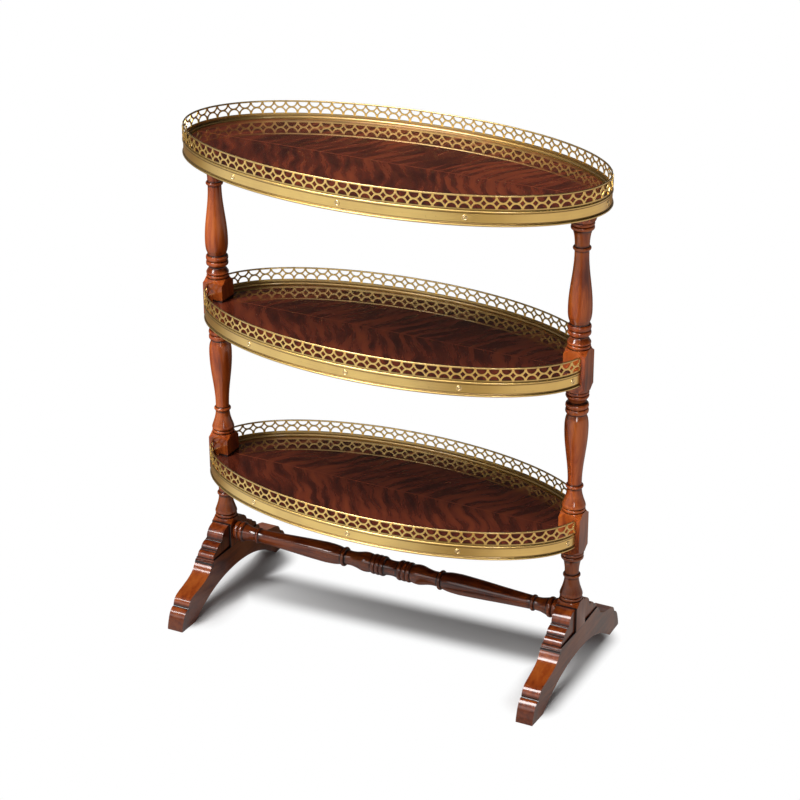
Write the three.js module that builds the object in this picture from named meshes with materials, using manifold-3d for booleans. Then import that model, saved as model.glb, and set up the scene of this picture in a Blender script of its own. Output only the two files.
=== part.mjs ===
// An oval side table in three tiers. Two turned posts on arched feet, tied by a turned
// stretcher, carry three veneered oval shelves. Each shelf has a brass band round its edge
// and a pierced brass gallery that stands on the band.
// Millimetres, +Z up. The origin is on the floor below the middle of the table, X runs
// along the ovals and Y across them, with the front at -Y.
import * as THREE from 'three';
import { mergeGeometries, mergeVertices } from 'three/addons/utils/BufferGeometryUtils.js';
import Module from 'manifold-3d';

const wasm = await Module();
wasm.setup();

// Height of each gallery's rim above the floor
const topRimHeight = 762;
const middleRimHeight = 509;
const bottomRimHeight = 258;

// Half axes of the ovals, at the outer face of the galleries. The posts stand in from the
// top's ends, and the lower ovals reach a little past the middle of the posts.
const topHalfLength = 321.4;
const topHalfDepth = 158.5;
const postInset = 34.4;
const lowerReach = 11;
const lowerHalfDepth = 142;

// Gallery: a pierced strip, capped by a rail
const railHeight = 2.6;
const railThickness = 2.4;
const stripThickness = 1.5;
const motifPitch = 19;
const halfRoundWidth = 12.3;
const halfRoundDepth = 7;
const crownWidth = 6.4;
const crownWeb = 2.4;

// Edge band: a ledge bead, a plain fascia, a foot bead and a leaf that lies on the board
const ledgeHeight = 6.2;
const fasciaHeight = 13.6;
const footBeadHeight = 4.6;
const bandThickness = 1.6;
const ledgeProud = 1.8;
const fasciaProud = 0.6;
const footBeadProud = 2.3;
const leafWidth = 7.7;
const leafRise = 3.5;

// Shelf boards and the veneer laid on them
const veneerThickness = 0.9;
const veneerDepth = 26;
const bandLip = 0.5;

// Posts: square blocks with turned lengths between them
const blockWidth = 33;
const turnedRadius = 16.4;
const blockRise = 0.9;
const topBlockHeight = 12;
const middleBlockHeight = 51;
const footBlockHeight = 38.5;

// Feet and their brackets
const footSpan = 318;
const toeWidth = 25.6;
const toePadLength = 36;
const archRise = 42.6;
const ledgeReach = 60.5;
const footLedgeHeight = 78;
const bracketWidth = 27.5;
const bracketReveal = 1;
const crownRun = 18;
const crownDrop = 18.5;
const upperStepRun = 16.5;
const upperStepDrop = 10;

// Stretcher
const stretcherHeight = 100;
const stretcherRadius = 15.6;

// Joints
const jointGap = 0.3;
const dowelDiameter = 8;
const dowelLength = 30;
const dowelSpacing = 16;
const postTenonDiameter = 16;
const topTenonLength = 9;
const footTenonLength = 20;
const stretcherTenonDiameter = 14;
const stretcherTenonLength = 18;

// How finely round forms are drawn
const latheSides = 8;
const dowelSides = 6;
const quarterRingSteps = 9;
const halfRingSteps = 16;
const curveSteps = 4;
const archSteps = 10;
const taperSteps = 3;
const lengthSamples = 1440;
const samePlace = 0.001;
const cutOverrun = 2;

// Turned ends, from the block outward. Both the distance from the block and the radius are
// shares of the turned radius. The thin end closes with a small bead at its last point.
const thinEndShares = [
  [0.3, 1.11], [0.75, 0.93], [0.95, 1.0], [1.35, 0.76], [2.6, 0.62], [2.76, 0.77],
];
const fatEndShares = [
  [0.3, 1.12], [0.9, 1.01], [1.36, 0.76], [1.8, 1.0], [2.28, 1.0], [2.65, 0.85],
  [3.05, 0.96], [3.9, 1.025],
];
const beadFootShares = [2.92, 0.62];
const balusterThinShares = [3.15, 0.61];

// Half of the stretcher, from its middle to the post: distance as a share of the half
// length, radius as a share of the stretcher's radius.
const stretcherShares = [
  [0.035, 0.81], [0.054, 0.975], [0.108, 0.975], [0.122, 0.86], [0.159, 0.97], [0.207, 0.83],
  [0.259, 0.705], [0.285, 0.73], [0.298, 0.955], [0.312, 0.83], [0.359, 0.955], [0.414, 1.0],
  [0.56, 0.89], [0.836, 0.66], [0.849, 0.776], [0.861, 0.635], [0.95, 1.0], [1.0, 0.95],
];
const stretcherWaistShare = 0.745;

// Top line of a foot beyond its ledge. The first share runs from the ledge's end to the
// tip of the toe, the second is of the ledge's height.
const footDropShares = [0.015, 0.968];
const shinShares = [[0.157, 0.718], [0.503, 0.628]];
const kneeShares = [[0.706, 0.603], [0.802, 0.404]];
const grooveShares = [0.82, 0.4];
const toeShares = [[0.93, 0.32], [0.985, 0.077]];

// Shares of the band's own beads
const ledgeBellyShare = 0.55;
const footBeadStepShare = 0.83;
const railShoulderShare = 0.4;

const finishes = {
  postWood: { color: 0x7a2e16, roughness: 0.3, metalness: 0 },
  veneer: { color: 0x4c180d, roughness: 0.2, metalness: 0 },
  board: { color: 0x8a6a48, roughness: 0.75, metalness: 0 },
  brass: { color: 0xc9a050, roughness: 0.32, metalness: 1 },
  dowel: { color: 0xc8a878, roughness: 0.8, metalness: 0 },
};

// Heights that follow, below a rim
const stripHeight = 2 * halfRoundDepth + crownWeb;
const bandTop = -(railHeight + stripHeight);
const bandBottom = bandTop - ledgeHeight - fasciaHeight - footBeadHeight;
const veneerTop = -veneerDepth;
const boardTop = veneerTop - veneerThickness;
const boardBottom = bandBottom + bandLip;

// Offsets from the gallery's outer face, outward positive
const bandInside = fasciaProud - bandThickness;
const boardOffset = bandInside - jointGap;
const leafOffset = bandInside - leafWidth;
const veneerOffset = leafOffset - jointGap;

// Places along the posts
const postX = topHalfLength - postInset;
const lowerHalfLength = postX + lowerReach;
const blockHalf = blockWidth / 2;
const blockInside = postX - blockHalf;
const blockClear = blockHalf + jointGap;
const footBlockTop = footLedgeHeight + footBlockHeight;
const thinEndLength = thinEndShares.at(-1)[0] * turnedRadius;
const bottomBlockFoot = footBlockTop + 2 * thinEndLength;
const bottomBlockTop = bottomRimHeight + blockRise;
const middleBlockTop = middleRimHeight + blockRise;
const middleBlockFoot = middleBlockTop - middleBlockHeight;
const postTop = topRimHeight + boardBottom;
const topBlockFoot = postTop - topBlockHeight;

// Closed meshes as solids, and back
function withoutEmptyFaces(geometry) {
  const corners = geometry.index.array;
  const kept = [];
  for (let i = 0; i < corners.length; i += 3) {
    const [a, b, c] = corners.slice(i, i + 3);
    if (a !== b && b !== c && c !== a) kept.push(a, b, c);
  }
  geometry.setIndex(kept);
  return geometry;
}

function weld(geometry) {
  const bare = geometry.clone();
  bare.deleteAttribute('normal');
  bare.deleteAttribute('uv');
  return withoutEmptyFaces(mergeVertices(bare));
}

function toSolid(geometry) {
  const welded = weld(geometry);
  return new wasm.Manifold(new wasm.Mesh({
    numProp: 3,
    vertProperties: Float32Array.from(welded.attributes.position.array),
    triVerts: Uint32Array.from(welded.index.array),
  }));
}

function toGeometry(solid) {
  const mesh = solid.getMesh();
  const geometry = new THREE.BufferGeometry();
  geometry.setAttribute('position', new THREE.BufferAttribute(mesh.vertProperties, 3));
  geometry.setIndex(new THREE.BufferAttribute(mesh.triVerts, 1));
  return geometry;
}

function cut(geometry, tools) {
  const joined = tools.map(toSolid).reduce((sum, tool) => sum.add(tool));
  return toGeometry(toSolid(geometry).subtract(joined));
}

// Basic forms
const alongX = new THREE.Matrix4().makeBasis(
  new THREE.Vector3(0, 1, 0),
  new THREE.Vector3(0, 0, 1),
  new THREE.Vector3(1, 0, 0),
);

function extrude(points, depth, steps = 1) {
  const shape = new THREE.Shape(points.map(([x, y]) => new THREE.Vector2(x, y)));
  return new THREE.ExtrudeGeometry(shape, { depth, steps, bevelEnabled: false });
}

// An outline in Y and Z, pushed along X and centred on it
function slab(points, width) {
  return extrude(points, width).applyMatrix4(alongX).translate(-width / 2, 0, 0);
}

// A profile of [radius, height] pairs, turned about Z
function turn(profile) {
  const points = profile.map(([radius, height]) => new THREE.Vector2(radius, height));
  return new THREE.LatheGeometry(points, latheSides).rotateX(Math.PI / 2);
}

function rodAlongX(radius, from, to, y, z) {
  const rod = new THREE.CylinderGeometry(radius, radius, to - from, dowelSides);
  return rod.rotateZ(-Math.PI / 2).translate((from + to) / 2, y, z);
}

// A stretch of an oval, run clockwise seen from above. Side 0 is the whole ring. Sides -1
// and 1 are the front and the back half, which stop square at the blocks' faces.
class Stretch {
  constructor(halfLength, halfDepth, side) {
    Object.assign(this, { halfLength, halfDepth, side });
    this.steps = side === 0 ? 4 * quarterRingSteps : halfRingSteps;
    this.measure();
  }

  angle(share, offset) {
    const start = this.side < 0 ? 2 * Math.PI : Math.PI;
    const trim = Math.asin(blockClear / (this.halfDepth + offset));
    if (this.side === 0) return 2 * Math.PI * (1 - share);
    return start - trim - share * (Math.PI - 2 * trim);
  }

  point(share, offset) {
    const angle = this.angle(share, offset);
    const x = (this.halfLength + offset) * Math.cos(angle);
    const y = (this.halfDepth + offset) * Math.sin(angle);
    return [x, y];
  }

  points(offset) {
    const count = this.side === 0 ? this.steps : this.steps + 1;
    return Array.from({ length: count }, (_, i) => this.point(i / this.steps, offset));
  }

  // Lengths from the start to evenly spaced shares of the turn
  measure() {
    this.lengths = [0];
    let last = this.point(0, 0);
    for (let i = 1; i <= lengthSamples; i += 1) {
      const next = this.point(i / lengthSamples, 0);
      this.lengths.push(this.lengths[i - 1] + Math.hypot(next[0] - last[0], next[1] - last[1]));
      last = next;
    }
    this.length = this.lengths[lengthSamples];
  }

  shareAtLength(length) {
    let low = 0;
    let high = lengthSamples;
    while (high - low > 1) {
      const middle = (low + high) >> 1;
      if (this.lengths[middle] <= length) low = middle;
      else high = middle;
    }
    const rest = (length - this.lengths[low]) / (this.lengths[high] - this.lengths[low]);
    return (low + rest) / lengthSamples;
  }

  // Bends a straight piece round the oval: x becomes the place along the stretch, y the
  // offset outward, and z stays.
  bend(geometry, shareOf) {
    const place = geometry.attributes.position;
    for (let i = 0; i < place.count; i += 1) {
      const [x, y] = this.point(shareOf(place.getX(i)), place.getY(i));
      place.setXYZ(i, x, y, place.getZ(i));
    }
    return geometry;
  }
}

// Takes out the faces that lie wholly in one of the given planes of X, so that the pieces
// on either side of such a plane become one.
function openAt(geometry, planes) {
  const old = geometry.attributes.position;
  const kept = [];
  for (let i = 0; i < old.count; i += 3) {
    const corners = [i, i + 1, i + 2];
    const inPlane = (plane) => corners.every((c) => Math.abs(old.getX(c) - plane) < samePlace);
    if (planes.some(inPlane)) continue;
    for (const c of corners) kept.push(old.getX(c), old.getY(c), old.getZ(c));
  }
  const opened = new THREE.BufferGeometry();
  opened.setAttribute('position', new THREE.Float32BufferAttribute(kept, 3));
  return opened;
}

// A straight moulding of the given section, bent round a stretch
function moulding(section, stretch) {
  const { length, steps, side } = stretch;
  const straight = extrude(section, length, steps).applyMatrix4(alongX);
  const ends = side === 0 ? [0, length] : [];
  return weld(stretch.bend(openAt(straight, ends), (x) => x / length));
}

// Galleries
const crownHalf = crownWidth / 2;
const flatHalf = halfRoundWidth / 2;
const upperCrown = stripHeight - halfRoundDepth;
const lowerCrown = halfRoundDepth;

// One half round is cut into the strip's top edge and one into its bottom edge in each
// column. These are the metal's corners right of a column's crowns and left of them.
const rightOfCrowns = [
  [[crownHalf, upperCrown], [flatHalf, stripHeight]],
  [[flatHalf, 0], [crownHalf, lowerCrown]],
];
const leftOfCrowns = [
  [[-flatHalf, stripHeight], [-crownHalf, upperCrown]],
  [[-crownHalf, lowerCrown], [-flatHalf, 0]],
];

function shifted(points, distance) {
  return points.map(([x, z]) => [x + distance, z]);
}

// The metal from one column's left crown corners to the next column's
function motifOutline(pitch) {
  const [upperLeft, lowerLeft] = leftOfCrowns;
  const [upperRight, lowerRight] = rightOfCrowns;
  return [
    upperLeft[1], ...upperRight, ...shifted(upperLeft, pitch),
    ...shifted(lowerLeft, pitch), ...lowerRight, lowerLeft[0],
  ];
}

function firstOutline(pitch) {
  const [upper, lower] = leftOfCrowns;
  return [[-pitch / 2, stripHeight], ...upper, ...lower, [-pitch / 2, 0]];
}

function lastOutline(pitch) {
  const [upper, lower] = rightOfCrowns;
  const [upperLeft, lowerLeft] = leftOfCrowns;
  return [
    upperLeft[1], ...upper, [pitch / 2, stripHeight],
    [pitch / 2, 0], ...lower, lowerLeft[0],
  ];
}

// The strip is cut flat, one motif after another, and then bent round the oval.
function piercedStrip(stretch) {
  const ring = stretch.side === 0;
  const count = Math.round(stretch.length / motifPitch);
  const pitch = stretch.length / count;
  const first = ring ? 0 : pitch / 2;
  const joins = [-crownHalf, pitch - crownHalf];
  const tile = (outline, centre) => openAt(
    extrude(outline(pitch), stripThickness).rotateX(Math.PI / 2), joins,
  ).translate(centre, 0, 0);
  const tiles = [];
  if (!ring) tiles.push(tile(firstOutline, first));
  const motifs = ring ? count : count - 1;
  for (let i = 0; i < motifs; i += 1) tiles.push(tile(motifOutline, first + i * pitch));
  if (!ring) tiles.push(tile(lastOutline, first + motifs * pitch));
  const shareOf = (x) => (ring ? stretch.shareAtLength((x + stretch.length) % stretch.length)
    : stretch.shareAtLength(x));
  return weld(stretch.bend(mergeGeometries(tiles), shareOf));
}

function railSection() {
  const outer = (railThickness - stripThickness) / 2;
  const inner = outer - railThickness;
  const shoulder = -railHeight * railShoulderShare;
  return [
    [inner, -railHeight], [outer, -railHeight], [outer, shoulder],
    [(inner + outer) / 2, 0], [inner, shoulder],
  ];
}

function bandSection() {
  const lip = (railThickness - stripThickness) / 2;
  const fasciaFoot = bandBottom + footBeadHeight;
  return [
    [bandInside, bandBottom],
    [footBeadProud, bandBottom],
    [footBeadProud, bandBottom + footBeadHeight * footBeadStepShare],
    [fasciaProud, fasciaFoot],
    [fasciaProud, fasciaFoot + fasciaHeight],
    [ledgeProud, bandTop - ledgeHeight * ledgeBellyShare],
    [lip, bandTop],
    [lip - railThickness, bandTop],
    [lip - railThickness, veneerTop + leafRise],
    [leafOffset, boardTop],
    [bandInside, boardTop],
  ];
}

// Boards and veneer. Their outlines follow the band's facets, and the lower ones are
// notched for the posts.
const notchX = blockInside - jointGap;

function boardOutline(plan, offset) {
  return plan.flatMap((stretch) => {
    const { side } = stretch;
    const notch = [[side * notchX, side * blockClear], [side * notchX, -side * blockClear]];
    return side === 0 ? stretch.points(offset) : [...stretch.points(offset), ...notch];
  });
}

// A leaf of veneer reaches from the seam along the middle to the front or the back.
function leafOutline(plan, side) {
  if (plan.length === 1) {
    const [ring] = plan;
    const around = [...ring.points(veneerOffset), ring.point(1, veneerOffset)];
    const middle = 2 * quarterRingSteps;
    return side < 0 ? around.slice(0, middle + 1) : around.slice(middle);
  }
  const half = plan.find((stretch) => stretch.side === side);
  const [x, y] = [side * notchX, side * blockClear];
  return [...half.points(veneerOffset), [x, y], [x, 0], [-x, 0], [-x, y]];
}

function shelfBoard(plan, holes) {
  const board = extrude(boardOutline(plan, boardOffset), boardTop - boardBottom);
  return cut(board.translate(0, 0, boardBottom), holes);
}

function veneerLeaf(plan, side) {
  return extrude(leafOutline(plan, side), veneerThickness).translate(0, 0, boardTop);
}

// Dowels hold a lower shelf to the inner faces of both posts. A dowel's place is given by
// the side of the table that it is on and by its Y.
const dowelPlaces = [-1, 1].flatMap((side) => [
  [side, -dowelSpacing / 2],
  [side, dowelSpacing / 2],
]);
const dowelHeight = (boardTop + boardBottom) / 2;

function dowel(side, y, height, gap) {
  const reach = dowelLength / 2 + gap;
  const middle = side * blockInside;
  return rodAlongX(dowelDiameter / 2 + gap, middle - reach, middle + reach, y, height);
}

function dowelSet(height, gap) {
  return dowelPlaces.map(([side, y]) => dowel(side, y, height, gap));
}

// Posts
const blockTurn = blockHalf * Math.SQRT2 / Math.cos(Math.PI / latheSides) + jointGap;
const postTenonRadius = postTenonDiameter / 2;

// Turned points from a block's face at height `face`, going up (1) or down (-1)
function turnedFrom(face, way, shares) {
  const points = shares.map(([distance, radius]) => [
    radius * turnedRadius,
    face + way * distance * turnedRadius,
  ]);
  return way > 0 ? points : points.reverse();
}

// A baluster length between two blocks, slender towards the face at `thin` and full
// towards the face at `full`
function balusterLength(thin, full) {
  const way = Math.sign(full - thin);
  const [[startDistance, startShare], [endDistance, endShare]] = [
    balusterThinShares,
    fatEndShares.at(-1),
  ];
  const start = thin + way * startDistance * turnedRadius;
  const end = full - way * endDistance * turnedRadius;
  const taper = Array.from({ length: taperSteps }, (_, i) => {
    const share = i / taperSteps;
    const swell = (1 - Math.cos(Math.PI * share)) / 2;
    const radius = (startShare + (endShare - startShare) * swell) * turnedRadius;
    return [radius, start + (end - start) * share];
  });
  const slender = turnedFrom(thin, way, [...thinEndShares, beadFootShares]);
  const bulging = turnedFrom(full, -way, fatEndShares);
  return way > 0 ? [...slender, ...taper, ...bulging] : [...bulging, ...taper.reverse(), ...slender];
}

function block(foot, top) {
  return [[blockTurn, foot], [blockTurn, top]];
}

function peg(radius, foot, top) {
  return [[0, foot], [radius, foot], [radius, top], [0, top]];
}

function postProfile() {
  const footPeg = peg(postTenonRadius, footLedgeHeight - footTenonLength, footLedgeHeight);
  const topPeg = peg(postTenonRadius, postTop, postTop + topTenonLength);
  return [
    ...footPeg.slice(0, 3),
    ...block(footLedgeHeight, footBlockTop),
    ...turnedFrom(footBlockTop, 1, thinEndShares),
    ...turnedFrom(bottomBlockFoot, -1, thinEndShares.slice(0, -1)),
    ...block(bottomBlockFoot, bottomBlockTop),
    ...balusterLength(bottomBlockTop, middleBlockFoot),
    ...block(middleBlockFoot, middleBlockTop),
    ...balusterLength(topBlockFoot, middleBlockTop),
    ...block(topBlockFoot, postTop),
    ...topPeg.slice(1),
  ];
}

// The square blank leaves its faces on the blocks, and the turning does the rest. The
// holes for dowels and the stretcher are in the faces towards the table's middle.
function post(side) {
  const foot = footLedgeHeight - footTenonLength;
  const height = postTop + topTenonLength - foot;
  const blank = new THREE.BoxGeometry(blockWidth, blockWidth, height + 2 * cutOverrun);
  blank.translate(0, 0, foot + height / 2);
  const turned = toSolid(turn(postProfile())).intersect(toSolid(blank));
  const toPost = (geometry) => geometry.translate(-side * postX, 0, 0);
  const holes = [bottomRimHeight, middleRimHeight].flatMap((rim) => dowelPlaces
    .filter(([at]) => at === side)
    .map(([at, y]) => toPost(dowel(at, y, rim + dowelHeight, jointGap))));
  const mortise = stretcherPeg(side, jointGap);
  return cut(toGeometry(turned), [...holes, toPost(mortise)]);
}

// Stretcher
function stretcherPeg(side, gap) {
  const radius = stretcherTenonDiameter / 2 + gap;
  const ends = [side * (blockInside - cutOverrun), side * (blockInside + stretcherTenonLength + gap)];
  const profile = peg(radius, Math.min(...ends), Math.max(...ends));
  return turn(profile).rotateY(Math.PI / 2).translate(0, 0, stretcherHeight);
}

function stretcher() {
  const half = stretcherShares.map(([place, radius]) => [
    radius * stretcherRadius,
    place * blockInside,
  ]);
  const tenonRadius = stretcherTenonDiameter / 2;
  const end = blockInside + stretcherTenonLength;
  half.push([tenonRadius, blockInside], [tenonRadius, end], [0, end]);
  const mirrored = half.map(([radius, place]) => [radius, -place]).reverse();
  const waist = [stretcherWaistShare * stretcherRadius, 0];
  return turn([...mirrored, waist, ...half]).rotateY(Math.PI / 2);
}

// Feet
function footSide() {
  const tip = footSpan / 2;
  const at = ([run, rise]) => [ledgeReach + run * (tip - ledgeReach), rise * footLedgeHeight];
  const path = new THREE.Path();
  path.moveTo(ledgeReach, footLedgeHeight);
  path.lineTo(...at(footDropShares));
  path.quadraticCurveTo(...shinShares.flatMap(at));
  path.quadraticCurveTo(...kneeShares.flatMap(at));
  path.lineTo(...at(grooveShares));
  path.quadraticCurveTo(...toeShares.flatMap(at));
  path.lineTo(tip, 0);
  path.lineTo(tip - toePadLength, 0);
  return path.getPoints(curveSteps).map(({ x, y }) => [x, y]);
}

function footArch() {
  const half = footSpan / 2 - toePadLength;
  const radius = (half ** 2 + archRise ** 2) / (2 * archRise);
  const reach = Math.asin(half / radius);
  return Array.from({ length: archSteps - 1 }, (_, i) => {
    const angle = reach * (1 - 2 * (i + 1) / archSteps);
    return [radius * Math.sin(angle), archRise - radius * (1 - Math.cos(angle))];
  });
}

// The foot is as wide as the post's block in the middle and narrows to its toes.
function footFrame() {
  const side = footSide();
  const mirrored = side.map(([y, z]) => [-y, z]).reverse();
  const frame = slab([...side, ...footArch(), ...mirrored], blockWidth);
  const place = frame.attributes.position;
  for (let i = 0; i < place.count; i += 1) {
    const beyond = Math.max(0, Math.abs(place.getY(i)) - blockHalf);
    const narrowing = (blockWidth - toeWidth) * beyond / (footSpan / 2 - blockHalf);
    place.setX(i, place.getX(i) * (blockWidth - narrowing) / blockWidth);
  }
  const depth = footTenonLength + jointGap;
  const mouth = footLedgeHeight + cutOverrun;
  return cut(frame, [turn(peg(postTenonRadius + jointGap, footLedgeHeight - depth, mouth))]);
}

// A rounded step of a bracket, from its upper inner corner outward and down
function roundedStep([y, z], run, drop) {
  return Array.from({ length: curveSteps + 1 }, (_, i) => {
    const angle = (Math.PI / 2) * (i / curveSteps);
    return [y + run * Math.sin(angle), z - drop * (1 - Math.cos(angle))];
  });
}

function bracket(side) {
  const top = footBlockTop - bracketReveal;
  const crown = roundedStep([blockHalf, top], crownRun, crownDrop);
  const upper = roundedStep(crown.at(-1), upperStepRun, upperStepDrop);
  const [y, z] = upper.at(-1);
  const lower = roundedStep([y, z], ledgeReach - y, z - footLedgeHeight);
  const outline = [[blockHalf, footLedgeHeight], ...crown, ...upper.slice(1), ...lower.slice(1)];
  return slab(outline.map(([across, height]) => [side * across, height]), bracketWidth);
}

// Assembly
const table = new THREE.Group();

function add(parent, name, geometry, finish) {
  const material = new THREE.MeshStandardMaterial({ ...finish, flatShading: true });
  const mesh = new THREE.Mesh(geometry, material);
  mesh.name = name;
  parent.add(mesh);
  return mesh;
}

const sideNames = new Map([[-1, '_front'], [0, ''], [1, '_back']]);

function addShelf(label, rimHeight, plan, holes) {
  const shelf = new THREE.Group();
  shelf.position.z = rimHeight;
  table.add(shelf);
  add(shelf, `${label}_shelf_board`, shelfBoard(plan, holes), finishes.board);
  for (const side of [-1, 1]) {
    add(shelf, `${label}_veneer${sideNames.get(side)}`, veneerLeaf(plan, side), finishes.veneer);
  }
  for (const stretch of plan) {
    const end = sideNames.get(stretch.side);
    add(shelf, `${label}_edge_band${end}`, moulding(bandSection(), stretch), finishes.brass);
    add(shelf, `${label}_gallery${end}`, piercedStrip(stretch), finishes.brass).position.z = bandTop;
    add(shelf, `${label}_gallery_rail${end}`, moulding(railSection(), stretch), finishes.brass);
  }
  return shelf;
}

const topPlan = [new Stretch(topHalfLength, topHalfDepth, 0)];
const lowerPlan = [-1, 1].map((side) => new Stretch(lowerHalfLength, lowerHalfDepth, side));
const topMortises = [-1, 1].map((side) => turn(peg(
  postTenonRadius + jointGap,
  boardBottom - cutOverrun,
  boardBottom + topTenonLength + jointGap,
)).translate(side * postX, 0, 0));

addShelf('top', topRimHeight, topPlan, topMortises);
for (const [label, rimHeight] of [['middle', middleRimHeight], ['bottom', bottomRimHeight]]) {
  const shelf = addShelf(label, rimHeight, lowerPlan, dowelSet(dowelHeight, jointGap));
  for (const [side, y] of dowelPlaces) {
    const name = `${label}_dowel_${side < 0 ? 'left' : 'right'}${sideNames.get(Math.sign(y))}`;
    add(shelf, name, dowel(side, y, dowelHeight, 0), finishes.dowel);
  }
}

for (const [label, side] of [['left', -1], ['right', 1]]) {
  const pedestal = new THREE.Group();
  pedestal.position.x = side * postX;
  table.add(pedestal);
  add(pedestal, `${label}_post`, post(side), finishes.postWood);
  add(pedestal, `${label}_foot`, footFrame(), finishes.postWood);
  for (const facing of [-1, 1]) {
    const name = `${label}_foot_bracket${sideNames.get(facing)}`;
    add(pedestal, name, bracket(facing), finishes.postWood);
  }
}
add(table, 'stretcher', stretcher(), finishes.postWood).position.z = stretcherHeight;

export default table;
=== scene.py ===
# %% [markdown]
# # An oval side table in three tiers
#
# This lesson dresses a set of plain solids as real furniture: a side table with three oval
# shelves of figured veneer, brass bands and pierced galleries round them, and two turned
# posts on arched feet. The solids fix every size and place. Each piece is modelled again
# over them, with operators that also sit in Blender's menus, and gets a procedural finish.

import math
from contextlib import contextmanager

import bpy
from mathutils import Matrix, Vector


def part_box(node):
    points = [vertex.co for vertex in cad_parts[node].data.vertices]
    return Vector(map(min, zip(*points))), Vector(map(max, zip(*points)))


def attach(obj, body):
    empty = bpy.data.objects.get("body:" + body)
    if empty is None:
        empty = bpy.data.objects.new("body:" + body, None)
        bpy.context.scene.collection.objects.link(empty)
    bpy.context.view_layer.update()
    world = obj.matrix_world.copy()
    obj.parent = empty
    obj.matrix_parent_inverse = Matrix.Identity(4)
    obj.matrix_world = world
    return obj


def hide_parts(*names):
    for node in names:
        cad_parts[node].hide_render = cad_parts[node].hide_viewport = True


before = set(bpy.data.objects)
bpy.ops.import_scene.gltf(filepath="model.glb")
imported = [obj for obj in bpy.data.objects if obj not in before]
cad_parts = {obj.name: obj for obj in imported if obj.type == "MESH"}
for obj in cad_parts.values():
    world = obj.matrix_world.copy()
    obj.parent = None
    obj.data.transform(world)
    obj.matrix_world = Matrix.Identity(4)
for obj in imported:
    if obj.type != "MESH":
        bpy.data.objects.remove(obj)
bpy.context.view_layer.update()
MM = 0.001

# %% [markdown]
# ## Camera
#
# A product photograph is taken with a long lens from a few metres away, so the uprights
# hardly lean. The place, the turn and the lens come from matching the ovals and the posts.
# A camera looks along its own -Z, so its axes are the columns right, up and backwards.

# %% Camera
AZIMUTH = math.radians(26.959)
ELEVATION = math.radians(24.905)
ROLL = math.radians(-0.131)
FOCAL_PIXELS = 2404.668
IMAGE_PIXELS = 800
SENSOR_WIDTH = 36.0
AIM = Vector((9.662, 4.914, 376.08)) * MM
DISTANCE = 3465.84 * MM

towards_camera = Vector((
    math.sin(AZIMUTH) * math.cos(ELEVATION),
    -math.cos(AZIMUTH) * math.cos(ELEVATION),
    math.sin(ELEVATION),
))
level_right = Vector((math.cos(AZIMUTH), math.sin(AZIMUTH), 0))
level_up = towards_camera.cross(level_right)
camera_right = level_right * math.cos(ROLL) + level_up * math.sin(ROLL)
camera_up = level_up * math.cos(ROLL) - level_right * math.sin(ROLL)


def facing(place, right, up, back):
    """The matrix of a thing at `place` whose X, Y and Z run along the three directions"""
    return Matrix.Translation(place) @ Matrix((right, up, back)).transposed().to_4x4()


camera_data = bpy.data.cameras.new("camera")
camera_data.sensor_width = SENSOR_WIDTH
camera_data.lens = FOCAL_PIXELS * SENSOR_WIDTH / IMAGE_PIXELS
camera = bpy.data.objects.new("camera", camera_data)
bpy.context.scene.collection.objects.link(camera)
camera.matrix_world = facing(AIM + towards_camera * DISTANCE,
                             camera_right, camera_up, towards_camera)
bpy.context.scene.camera = camera
print("lens", round(camera_data.lens, 2), "mm at", tuple(round(c, 3) for c in camera.location))

# %% [markdown]
# ## Shader arithmetic
#
# A procedural finish is a formula over the surface. So one small class wraps a socket and
# turns Python's own signs into Math nodes, and one method adds any other node with its
# settings and its links.

# %% A socket that knows arithmetic
def arithmetic(operation):
    """A method that adds a Math node for this operation"""
    return lambda self, other: self.math(operation, other)


class Value:
    """A socket's value, which takes part in formulas as a number does"""

    def __init__(self, paint, socket):
        self.paint = paint
        self.socket = socket

    def math(self, operation, *numbers):
        return self.paint.math(operation, self, *numbers)

    __add__ = __radd__ = arithmetic("ADD")
    __sub__ = arithmetic("SUBTRACT")
    __mul__ = __rmul__ = arithmetic("MULTIPLY")
    __truediv__ = arithmetic("DIVIDE")
    __pow__ = arithmetic("POWER")
    least = arithmetic("MINIMUM")
    most = arithmetic("MAXIMUM")

    def __rsub__(self, other):
        return self.paint.math("SUBTRACT", other, self)

    def __abs__(self):
        return self.math("ABSOLUTE")

    def clamped(self):
        return self.paint.node("Clamp", {"Value": self})

    def over(self, low, high):
        """0 up to `low`, 1 from `high`, and smooth between them"""
        inputs = {"Value": self, "From Min": low, "From Max": high}
        return self.paint.node("MapRange", inputs, interpolation_type="SMOOTHSTEP")


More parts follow.
